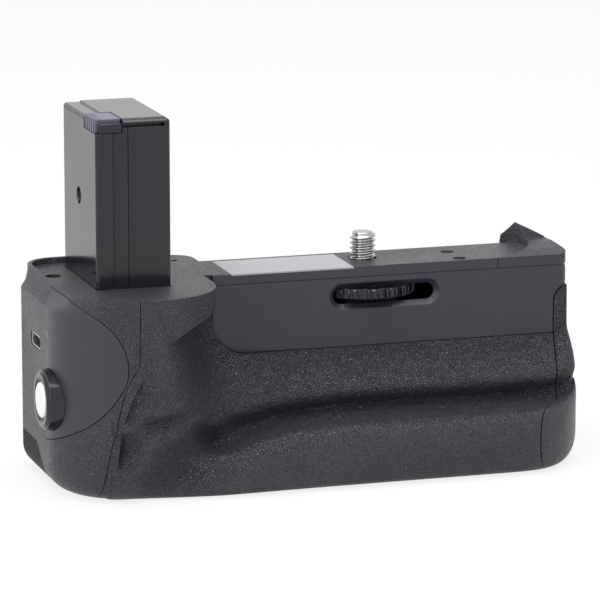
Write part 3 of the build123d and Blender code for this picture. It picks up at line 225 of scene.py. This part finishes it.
# White to the eye and in reflections, softer as a light
world = bpy.data.worlds.new("studio")
bpy.context.scene.world = world
world.use_nodes = True
worldTree = world.node_tree
background = worldTree.nodes["Background"]
background.inputs["Color"].default_value = studio["worldColour"]
strength = worldTree.nodes.new("ShaderNodeMapRange")
strength.inputs["To Min"].default_value = studio["worldLight"]
strength.inputs["To Max"].default_value = studio["worldSeen"]
worldTree.links.new(seenNode(worldTree), strength.inputs["Value"])
worldTree.links.new(strength.outputs["Result"], background.inputs["Strength"])

deselectAll()
floorHeight = cadBox[0][2] - studio["floorGap"]
bpy.ops.mesh.primitive_plane_add(size=studio["floorSize"], location=(0.0, 0.0, floorHeight))
floor = bpy.context.object
floor.name = "floor"
floorMaterial = bpy.data.materials.new("paleFloor")
floorMaterial.use_nodes = True
floorTree = floorMaterial.node_tree
floorShader = floorTree.nodes["Principled BSDF"]
floorShader.inputs["Base Color"].default_value = studio["floorColour"]
floorShader.inputs["Roughness"].default_value = 0.9
floorShader.inputs["Specular IOR Level"].default_value = 0.0
glow = floorTree.nodes.new("ShaderNodeEmission")
floorMix = floorTree.nodes.new("ShaderNodeMixShader")
glowShare = mathNode(floorTree, "MULTIPLY", seenNode(floorTree), studio["floorGlow"])
floorTree.links.new(glowShare, floorMix.inputs[0])
floorTree.links.new(floorShader.outputs[0], floorMix.inputs[1])
floorTree.links.new(glow.outputs[0], floorMix.inputs[2])
floorTree.links.new(floorMix.outputs[0], floorTree.nodes["Material Output"].inputs["Surface"])
floor.data.materials.append(floorMaterial)

print("stage: shared finishes")


def newGroup(name, inputs, outputs):
    group = bpy.data.node_groups.new(name, "ShaderNodeTree")
    for socketName, socketType, value in inputs:
        socket = group.interface.new_socket(name=socketName, in_out="INPUT", socket_type=socketType)
        if value is not None:
            socket.default_value = value
    for socketName, socketType in outputs:
        group.interface.new_socket(name=socketName, in_out="OUTPUT", socket_type=socketType)
    entry = group.nodes.new("NodeGroupInput")
    leave = group.nodes.new("NodeGroupOutput")
    return group, entry.outputs, leave.inputs


# Moulded leather: pebbles with creases between them, some lower than others, and fine pores
leatherGroup, leatherIn, leatherOut = newGroup(
    "leatherGrain",
    [
        ("Vector", "NodeSocketVector", None),
        ("Pebbles", "NodeSocketFloat", 900.0),
        ("Wander", "NodeSocketFloat", 0.0004),
    ],
    [("Height", "NodeSocketFloat"), ("Crease", "NodeSocketFloat")],
)
warp = leatherGroup.nodes.new("ShaderNodeTexNoise")
warp.inputs["Detail"].default_value = 2.0
leatherGroup.links.new(mathNode(leatherGroup, "MULTIPLY", leatherIn["Pebbles"], 0.6), warp.inputs["Scale"])
leatherGroup.links.new(leatherIn["Vector"], warp.inputs["Vector"])
centred = vectorNode(leatherGroup, "SUBTRACT", warp.outputs["Color"], (0.5, 0.5, 0.5))
spread = vectorNode(leatherGroup, "SCALE", centred.outputs[0])
leatherGroup.links.new(leatherIn["Wander"], spread.inputs["Scale"])
wandered = vectorNode(leatherGroup, "ADD", leatherIn["Vector"], spread.outputs[0]).outputs[0]
pebbles = leatherGroup.nodes.new("ShaderNodeTexVoronoi")
pebbles.feature = "DISTANCE_TO_EDGE"
leatherGroup.links.new(wandered, pebbles.inputs["Vector"])
leatherGroup.links.new(leatherIn["Pebbles"], pebbles.inputs["Scale"])
pebbleTop = rangeNode(leatherGroup, pebbles.outputs["Distance"], 0.0, 0.22)
poreScale = mathNode(leatherGroup, "MULTIPLY", leatherIn["Pebbles"], 2.6)
pores = noiseNode(leatherGroup, wandered, poreScale, 2.0, 0.6)
swellScale = mathNode(leatherGroup, "MULTIPLY", leatherIn["Pebbles"], 0.35)
swell = noiseNode(leatherGroup, wandered, swellScale, 2.0, 0.5)
swellShare = rangeNode(leatherGroup, swell, 0.3, 0.7, 0.55, 1.0)
pebbleHeight = mathNode(leatherGroup, "MULTIPLY", pebbleTop, swellShare)
leatherHeight = mathNode(leatherGroup, "MULTIPLY_ADD", pores, 0.25, pebbleHeight)
leatherGroup.links.new(leatherHeight, leatherOut["Height"])
# Crease is one between the pebbles; the finishes darken there with painted shade
leatherGroup.links.new(mathNode(leatherGroup, "SUBTRACT", 1.0, pebbleTop), leatherOut["Crease"])

# Fine spark-eroded texture of moulded plastic
satinGroup, satinIn, satinOut = newGroup(
    "satinGrain",
    [("Vector", "NodeSocketVector", None), ("Specks", "NodeSocketFloat", 5200.0)],
    [("Height", "NodeSocketFloat"), ("Speck", "NodeSocketFloat")],
)
specks = noiseNode(satinGroup, satinIn["Vector"], satinIn["Specks"], 2.0, 0.7)
satinGroup.links.new(specks, satinOut["Height"])
satinGroup.links.new(rangeNode(satinGroup, specks, 0.35, 0.65), satinOut["Speck"])

# Handling: soft rubbed patches, dust and hairline marks
handledGroup, handledIn, handledOut = newGroup(
    "handled",
    [("Vector", "NodeSocketVector", None), ("Patches", "NodeSocketFloat", 45.0)],
    [("Rub", "NodeSocketFloat"), ("Dust", "NodeSocketFloat"), ("Hairline", "NodeSocketFloat")],
)
rub = noiseNode(handledGroup, handledIn["Vector"], handledIn["Patches"], 4.0, 0.55)
handledGroup.links.new(rangeNode(handledGroup, rub, 0.38, 0.66), handledOut["Rub"])
dustScale = mathNode(handledGroup, "MULTIPLY", handledIn["Patches"], 70.0)
dust = noiseNode(handledGroup, handledIn["Vector"], dustScale, 1.0, 0.5)
handledGroup.links.new(rangeNode(handledGroup, dust, 0.70, 0.78), handledOut["Dust"])
streakMap = handledGroup.nodes.new("ShaderNodeMapping")
streakMap.inputs["Scale"].default_value = (1.0, 22.0, 22.0)
streakMap.inputs["Rotation"].default_value = (0.2, 0.35, 0.6)
handledGroup.links.new(handledIn["Vector"], streakMap.inputs["Vector"])
streaks = noiseNode(handledGroup, streakMap.outputs[0], handledIn["Patches"], 5.0, 0.75)
handledGroup.links.new(rangeNode(handledGroup, streaks, 0.66, 0.72), handledOut["Hairline"])

# Edge: where a small rounding of the normals leaves the face's own normal
edgeGroup, edgeIn, edgeOut = newGroup(
    "edgeRub",
    [("Normal", "NodeSocketVector", None), ("Vector", "NodeSocketVector", None)],
    [("Mask", "NodeSocketFloat")],
)
facing = edgeGroup.nodes.new("ShaderNodeNewGeometry")
agree = vectorNode(edgeGroup, "DOT_PRODUCT", facing.outputs["Normal"], edgeIn["Normal"])
edgeRaw = rangeNode(edgeGroup, agree.outputs["Value"], 0.985, 0.80)
edgeBreak = rangeNode(edgeGroup, noiseNode(edgeGroup, edgeIn["Vector"], 260.0, 3.0, 0.6), 0.35, 0.6)
edgeGroup.links.new(mathNode(edgeGroup, "MULTIPLY", edgeRaw, edgeBreak), edgeOut["Mask"])


def placeGroup(tree, group, **values):
    node = tree.nodes.new("ShaderNodeGroup")
    node.node_tree = group
    for socketName, value in values.items():
        if isinstance(value, (int, float)):
            node.inputs[socketName].default_value = value
        else:
            tree.links.new(value, node.inputs[socketName])
    return node


def mixColour(tree, share, first, second):
    node = tree.nodes.new("ShaderNodeMix")
    node.data_type = "RGBA"
    tree.links.new(share, node.inputs[0])
    for index, value in ((6, first), (7, second)):
        if isinstance(value, tuple):
            node.inputs[index].default_value = (*value, 1.0)
        else:
            tree.links.new(value, node.inputs[index])
    return node.outputs[2]


# What a finish has where it names nothing else
plainLook = {
    "patches": 45.0, "edgeRadius": 0.00025, "edgeSamples": 6, "detailShare": 0.5, "rubShare": 0.25,
    "edgeShare": 0.35, "dustShare": 0.25, "dust": (0.30, 0.29, 0.28), "polish": 0.07, "detailRough": 0.08,
    "hairRough": 0.10, "metallic": 0.0, "specular": 0.5, "strength": 0.5,
}


def makeFinish(name, ownLook):
    look = {**plainLook, **ownLook}
    material = bpy.data.materials.new(name)
    material.use_nodes = True
    tree = material.node_tree
    shader = tree.nodes["Principled BSDF"]
    coordinates = tree.nodes.new("ShaderNodeTexCoord").outputs["Object"]
    rounded = tree.nodes.new("ShaderNodeBevel")
    rounded.samples = look["edgeSamples"]
    rounded.inputs["Radius"].default_value = look["edgeRadius"]
    handled = placeGroup(tree, handledGroup, Vector=coordinates, Patches=look["patches"])
    edge = placeGroup(tree, edgeGroup, Normal=rounded.outputs[0], Vector=coordinates)
    if look["grain"] == "leather":
        grain = placeGroup(
            tree, leatherGroup, Vector=coordinates, Pebbles=look["scale"], Wander=look["wander"],
        )
        detail = grain.outputs["Crease"]
    else:
        grain = placeGroup(tree, satinGroup, Vector=coordinates, Specks=look["scale"])
        detail = grain.outputs["Speck"]
    colour = look["colour"]
    # The first layer is painted shade in the leather's creases, and on satin the random tone of its specks
    layers = (
        (detail, "detailShare", "creaseShadeAndSpeck"),
        (handled.outputs["Rub"], "rubShare", "rubbed"),
        (edge.outputs["Mask"], "edgeShare", "worn"),
        (handled.outputs["Dust"], "dustShare", "dust"),
    )
    for mask, shareName, layerName in layers:
        share = mathNode(tree, "MULTIPLY", mask, look[shareName])
        colour = mixColour(tree, share, colour, look[layerName])
    tree.links.new(colour, shader.inputs["Base Color"])
    roughness = mathNode(tree, "MULTIPLY_ADD", handled.outputs["Rub"], -look["polish"], look["roughness"])
    roughness = mathNode(tree, "MULTIPLY_ADD", detail, look["detailRough"], roughness)
    roughness = mathNode(tree, "MULTIPLY_ADD", handled.outputs["Hairline"], look["hairRough"], roughness)
    tree.links.new(roughness, shader.inputs["Roughness"])
    shader.inputs["Metallic"].default_value = look["metallic"]
    shader.inputs["Specular IOR Level"].default_value = look["specular"]
    bump = tree.nodes.new("ShaderNodeBump")
    bump.inputs["Strength"].default_value = look["strength"]
    bump.inputs["Distance"].default_value = look["depth"]
    tree.links.new(grain.outputs["Height"], bump.inputs["Height"])
    tree.links.new(rounded.outputs[0], bump.inputs["Normal"])
    tree.links.new(bump.outputs[0], shader.inputs["Normal"])
    return material


# The darker second colour of each finish is painted shade in the creases on leather finishes, and the
# specks' own tone on satin ones
finishes = {
    "leatherPlastic": {
        "grain": "leather", "scale": 1700.0, "colour": (0.035, 0.035, 0.050), "creaseShadeAndSpeck": (0.009, 0.009, 0.013),
        "rubbed": (0.047, 0.047, 0.064), "worn": (0.085, 0.085, 0.100), "roughness": 0.34, "depth": 0.00042,
        "strength": 1.0, "wander": 0.0006,
    },
    "deckLeather": {
        "grain": "leather", "scale": 1500.0, "colour": (0.023, 0.023, 0.033), "creaseShadeAndSpeck": (0.007, 0.007, 0.010),
        "rubbed": (0.031, 0.031, 0.043), "worn": (0.070, 0.070, 0.076), "roughness": 0.36, "depth": 0.00028,
        "strength": 1.0, "wander": 0.0007,
    },
    "gripRubber": {
        "grain": "leather", "scale": 1700.0, "colour": (0.034, 0.034, 0.048), "creaseShadeAndSpeck": (0.007, 0.007, 0.010),
        "rubbed": (0.046, 0.046, 0.062), "worn": (0.075, 0.075, 0.090), "roughness": 0.33, "depth": 0.00050,
        "strength": 1.0, "wander": 0.0006,
    },
    "satinPlastic": {
        "grain": "satin", "scale": 5200.0, "colour": (0.024, 0.024, 0.038), "creaseShadeAndSpeck": (0.017, 0.017, 0.027),
        "rubbed": (0.031, 0.031, 0.046), "worn": (0.080, 0.080, 0.086), "roughness": 0.40, "depth": 0.00002,
    },
    "glossPlastic": {
        "grain": "satin", "scale": 2600.0, "colour": (0.006, 0.006, 0.012), "creaseShadeAndSpeck": (0.005, 0.005, 0.009),
        "rubbed": (0.010, 0.010, 0.017), "worn": (0.045, 0.045, 0.055), "roughness": 0.15, "depth": 0.000004,
        "strength": 0.3, "detailRough": 0.03, "polish": 0.03,
    },
    "cornerPlastic": {
        "grain": "satin", "scale": 4200.0, "colour": (0.006, 0.006, 0.007), "creaseShadeAndSpeck": (0.004, 0.004, 0.005),
        "rubbed": (0.009, 0.009, 0.010), "worn": (0.030, 0.030, 0.034), "roughness": 0.55, "depth": 0.00001,
        "strength": 0.4, "specular": 0.12,
    },
    "lilacPlastic": {
        "grain": "satin", "scale": 4200.0, "colour": (0.105, 0.100, 0.150), "creaseShadeAndSpeck": (0.070, 0.066, 0.105),
        "rubbed": (0.140, 0.135, 0.190), "worn": (0.24, 0.23, 0.30), "roughness": 0.40, "depth": 0.00002,
    },
    "labelGrey": {
        "grain": "satin", "scale": 6000.0, "colour": (0.34, 0.34, 0.36), "creaseShadeAndSpeck": (0.29, 0.29, 0.31),
        "rubbed": (0.38, 0.38, 0.40), "worn": (0.50, 0.50, 0.51), "roughness": 0.42, "depth": 0.00001,
    },
    "contactBrass": {
        "grain": "satin", "scale": 3000.0, "colour": (0.78, 0.58, 0.28), "creaseShadeAndSpeck": (0.62, 0.43, 0.18),
        "rubbed": (0.86, 0.68, 0.38), "worn": (0.90, 0.75, 0.48), "roughness": 0.26, "metallic": 1.0,
        "depth": 0.000006,
    },
    "boardGreen": {
        "grain": "satin", "scale": 1800.0, "colour": (0.012, 0.075, 0.030), "creaseShadeAndSpeck": (0.006, 0.045, 0.018),
        "rubbed": (0.018, 0.090, 0.038), "worn": (0.20, 0.22, 0.12), "roughness": 0.34, "depth": 0.00001,
    },
    "brushedMetal": {
        "grain": "satin", "scale": 2400.0, "colour": (0.62, 0.62, 0.63), "creaseShadeAndSpeck": (0.48, 0.48, 0.49),
        "rubbed": (0.70, 0.70, 0.71), "worn": (0.80, 0.80, 0.81), "roughness": 0.30, "metallic": 1.0,
        "depth": 0.000008,
    },
    "buttonSilver": {
        "grain": "satin", "scale": 2600.0, "colour": (0.86, 0.86, 0.87), "creaseShadeAndSpeck": (0.78, 0.78, 0.79),
        "rubbed": (0.90, 0.90, 0.91), "worn": (0.94, 0.94, 0.95), "roughness": 0.34, "metallic": 0.6,
        "depth": 0.000004,
    },
    "threadSteel": {
        "grain": "satin", "scale": 1500.0, "colour": (0.44, 0.435, 0.43), "creaseShadeAndSpeck": (0.33, 0.325, 0.32),
        "rubbed": (0.54, 0.535, 0.53), "worn": (0.80, 0.80, 0.80), "roughness": 0.20, "metallic": 1.0,
        "depth": 0.000004, "detailRough": 0.05, "polish": 0.05, "edgeShare": 0.6,
    },
    "blackSteel": {
        "grain": "satin", "scale": 3800.0, "colour": (0.020, 0.020, 0.022), "creaseShadeAndSpeck": (0.012, 0.012, 0.014),
        "rubbed": (0.05, 0.05, 0.054), "worn": (0.24, 0.24, 0.25), "roughness": 0.30, "metallic": 0.5,
        "depth": 0.000008,
    },
    "batteryPlastic": {
        "grain": "satin", "scale": 4600.0, "colour": (0.045, 0.046, 0.050), "creaseShadeAndSpeck": (0.032, 0.033, 0.036),
        "rubbed": (0.06, 0.06, 0.064), "worn": (0.12, 0.12, 0.124), "roughness": 0.42, "depth": 0.00001,
    },
    "smokedLens": {
        "grain": "satin", "scale": 1500.0, "colour": (0.006, 0.004, 0.005), "creaseShadeAndSpeck": (0.004, 0.003, 0.003),
        "rubbed": (0.010, 0.006, 0.007), "worn": (0.04, 0.03, 0.03), "roughness": 0.30, "depth": 0.000003,
        "detailRough": 0.02, "polish": 0.02,
    },
}
slotFinish = {
    "leather_plastic": "leatherPlastic",
    "grip_rubber": "gripRubber",
    "smooth_plastic": "satinPlastic",
    "glossy_plastic": "glossPlastic",
    "lilac_plastic": "lilacPlastic",
    "label_grey": "labelGrey",
    "contact_brass": "contactBrass",
    "board_green": "boardGreen",
    "brushed_metal": "brushedMetal",
    "bright_chrome": "threadSteel",
    "black_steel": "blackSteel",
    "battery_plastic": "batteryPlastic",
    "smoked_lens": "smokedLens",
}
# Pieces whose finish differs from others in their slot
ownFinish = {
    "top_plate": "deckLeather",
    "deck_plate": "deckLeather",
    "corner_cover": "cornerPlastic",
    "shutter_button": "buttonSilver",
}
materials = {name: makeFinish(name, look) for name, look in finishes.items()}
nodeSlot = {part["node"]: part["material_slot"] for part in frame["record"]["subparts"]}
for nodeName, node in nodes.items():
    finishName = ownFinish.get(nodeName, slotFinish[nodeSlot[nodeName]])
    node.data.materials.clear()
    node.data.materials.append(materials[finishName])

print("stage: softened edges")

# Edges broken by a small bevel: width in metres, cuts, and the angle in degrees that counts as an edge
softEdges = {
    "tower_case": {"width": 0.00025, "cuts": 2, "angle": 40.0},
    "tower_lid": {"width": 0.00025, "cuts": 2, "angle": 40.0},
    "contact_block": {"width": 0.00008, "cuts": 1, "angle": 40.0},
    "top_plate": {"width": 0.00015, "cuts": 2, "angle": 50.0},
    "horn": {"width": 0.0009, "cuts": 3, "angle": 28.0},
    "latch": {"width": 0.00020, "cuts": 2, "angle": 40.0},
    "thumb_wheel": {"width": 0.00012, "cuts": 1, "angle": 50.0},
    "battery_inner": {"width": 0.0006, "cuts": 3, "angle": 50.0},
    "battery_outer": {"width": 0.0006, "cuts": 3, "angle": 50.0},
}
weldDistance = 0.000002
flatAngle = math.radians(0.5)
flatWeight = 100


def softened(nodeName, look):
    node = nodes[nodeName]
    mesh = node.data.copy()
    mesh.name = nodeName + "_soft"
    piece = bpy.data.objects.new(nodeName + "_soft", mesh)
    bpy.context.scene.collection.objects.link(piece)
    makeActive(piece)
    bpy.ops.object.mode_set(mode="EDIT")
    bpy.ops.mesh.select_all(action="SELECT")
    bpy.ops.mesh.remove_doubles(threshold=weldDistance)
    bpy.ops.mesh.dissolve_limited(angle_limit=flatAngle)
    bpy.ops.object.mode_set(mode="OBJECT")
    bevel = piece.modifiers.new("softEdge", "BEVEL")
    bevel.width = look["width"]
    bevel.segments = look["cuts"]
    bevel.limit_method = "ANGLE"
    bevel.angle_limit = math.radians(look["angle"])
    bpy.ops.object.modifier_apply(modifier="softEdge")
    bpy.ops.object.shade_smooth_by_angle(angle=smoothAngle)
    flatFaces = piece.modifiers.new("flatFaces", "WEIGHTED_NORMAL")
    flatFaces.weight = flatWeight
    flatFaces.keep_sharp = True
    bpy.ops.object.modifier_apply(modifier="flatFaces")
    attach(piece, body_of(node)[0])
    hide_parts(nodeName)
    return piece


softPieces = {nodeName: softened(nodeName, look) for nodeName, look in softEdges.items()}

# The front faces of the top plate and the horn have the front panel's finish
for nodeName in ("top_plate", "horn"):
    mesh = softPieces[nodeName].data
    mesh.materials.append(materials["satinPlastic"])
    for face in mesh.polygons:
        if face.normal.y < -facingLimit:
            face.material_index = 1

print("stage: tripod screw")

# Heights are from the top plate's face, and the tooth's sizes are shares of its depth and of the pitch
screwLook = {
    "root": 0.00252, "outer": 0.003175, "pivot": 0.0020, "sides": 64,
    "pivotFoot": -0.01105, "shaftFoot": -0.00915, "foot": -0.0016, "tip": 0.0066,
    "tipBevel": 0.0006, "tipCuts": 4, "tipProfile": 0.6,
    "pitch": 0.00127, "turns": 6, "startShare": -0.25,
    "toothDepthShare": 1.3, "toothWidthShare": 0.86, "crestShare": 0.16,
}


def addRod(radius, foot, top):
    deselectAll()
    bpy.ops.mesh.primitive_cylinder_add(
        vertices=screwLook["sides"], radius=radius, depth=top - foot, location=(0.0, 0.0, (foot + top) / 2),
    )
    bpy.ops.object.transform_apply(location=True, rotation=True, scale=True)
    return bpy.context.object


screwCore = addRod(screwLook["root"], screwLook["foot"], screwLook["tip"])
screwCore.name = "tripodThread"
selectFacing(screwCore, 1)
bpy.ops.mesh.bevel(
    offset=screwLook["tipBevel"], segments=screwLook["tipCuts"], profile=screwLook["tipProfile"],
)
bpy.ops.object.mode_set(mode="OBJECT")

# The plain shaft below the thread, with a thinner pivot at its foot
screwShaft = addRod(screwLook["outer"], screwLook["shaftFoot"], screwLook["foot"])
selectFacing(screwShaft, -1)
bpy.ops.mesh.inset(thickness=screwLook["outer"] - screwLook["pivot"])
bpy.ops.mesh.extrude_region_move(
    TRANSFORM_OT_translate={"value": (0.0, 0.0, screwLook["pivotFoot"] - screwLook["shaftFoot"])}
)
bpy.ops.object.mode_set(mode="OBJECT")

# One tooth's outline, turned round the axis while it climbs
toothDepth = (screwLook["outer"] - screwLook["root"]) * screwLook["toothDepthShare"]
toothWidth = screwLook["pitch"] * screwLook["toothWidthShare"]
toothMiddle = screwLook["outer"] - toothDepth / 2
toothStart = screwLook["foot"] + screwLook["pitch"] * screwLook["startShare"]
deselectAll()
bpy.ops.mesh.primitive_plane_add(size=1.0, rotation=(math.radians(90.0), 0.0, 0.0))
tooth = bpy.context.object
tooth.name = "threadTooth"
tooth.scale = (toothDepth, toothWidth, 1.0)
bpy.ops.object.transform_apply(location=True, rotation=True, scale=True)
for corner in tooth.data.vertices:
    if corner.co.x > 0.0:
        corner.co.z *= screwLook["crestShare"]
    corner.co.x += toothMiddle
    corner.co.z += toothStart
makeActive(tooth)
bpy.ops.object.mode_set(mode="EDIT")
bpy.ops.mesh.select_all(action="SELECT")
bpy.ops.mesh.delete(type="ONLY_FACE")
bpy.ops.object.mode_set(mode="OBJECT")
climb = tooth.modifiers.new("climb", "SCREW")
climb.axis = "Z"
climb.iterations = screwLook["turns"]
climb.screw_offset = screwLook["pitch"]
climb.steps = screwLook["sides"]
climb.render_steps = screwLook["sides"]
bpy.ops.object.modifier_apply(modifier="climb")
bpy.ops.object.mode_set(mode="EDIT")
bpy.ops.mesh.select_all(action="SELECT")
bpy.ops.mesh.fill_holes(sides=6)
bpy.ops.mesh.select_all(action="SELECT")
bpy.ops.mesh.normals_make_consistent(inside=False)
bpy.ops.object.mode_set(mode="OBJECT")

makeActive(screwCore)
for piece in (screwShaft, tooth):
    piece.select_set(True)
bpy.ops.object.join()
bpy.ops.object.shade_smooth_by_angle(angle=smoothAngle)
screwCore.data.materials.clear()
screwCore.data.materials.append(materials["threadSteel"])
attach(screwCore, body_of(nodes["tripod_screw"])[0])
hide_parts("tripod_screw")

print("stage: contact frame")

# The black lip in front of the contact block: low and high corners from the tower's front left corner
lipLook = {
    "low": (0.0009, 0.00005, 0.0372), "high": (0.0064, 0.00150, 0.0395),
    "bevel": 0.00025, "cuts": 3, "profile": 0.5,
}

towerCorner = (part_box("tower_lid")[0].x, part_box("tower_lid")[0].y, 0.0)
lipSize = [high - low for low, high in zip(lipLook["low"], lipLook["high"])]
lipMiddle = [
    corner + (low + high) / 2 for corner, low, high in zip(towerCorner, lipLook["low"], lipLook["high"])
]
deselectAll()
bpy.ops.mesh.primitive_cube_add(size=1.0, location=lipMiddle)
contactLip = bpy.context.object
contactLip.name = "contactLip"
contactLip.scale = lipSize
bpy.ops.object.transform_apply(location=True, rotation=True, scale=True)
bpy.ops.object.mode_set(mode="EDIT")
bpy.ops.mesh.select_all(action="SELECT")
bpy.ops.mesh.bevel(offset=lipLook["bevel"], segments=lipLook["cuts"], profile=lipLook["profile"])
bpy.ops.object.mode_set(mode="OBJECT")
bpy.ops.object.shade_smooth_by_angle(angle=smoothAngle)
contactLip.data.materials.append(materials["glossPlastic"])
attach(contactLip, body_of(nodes["tower_case"])[0])
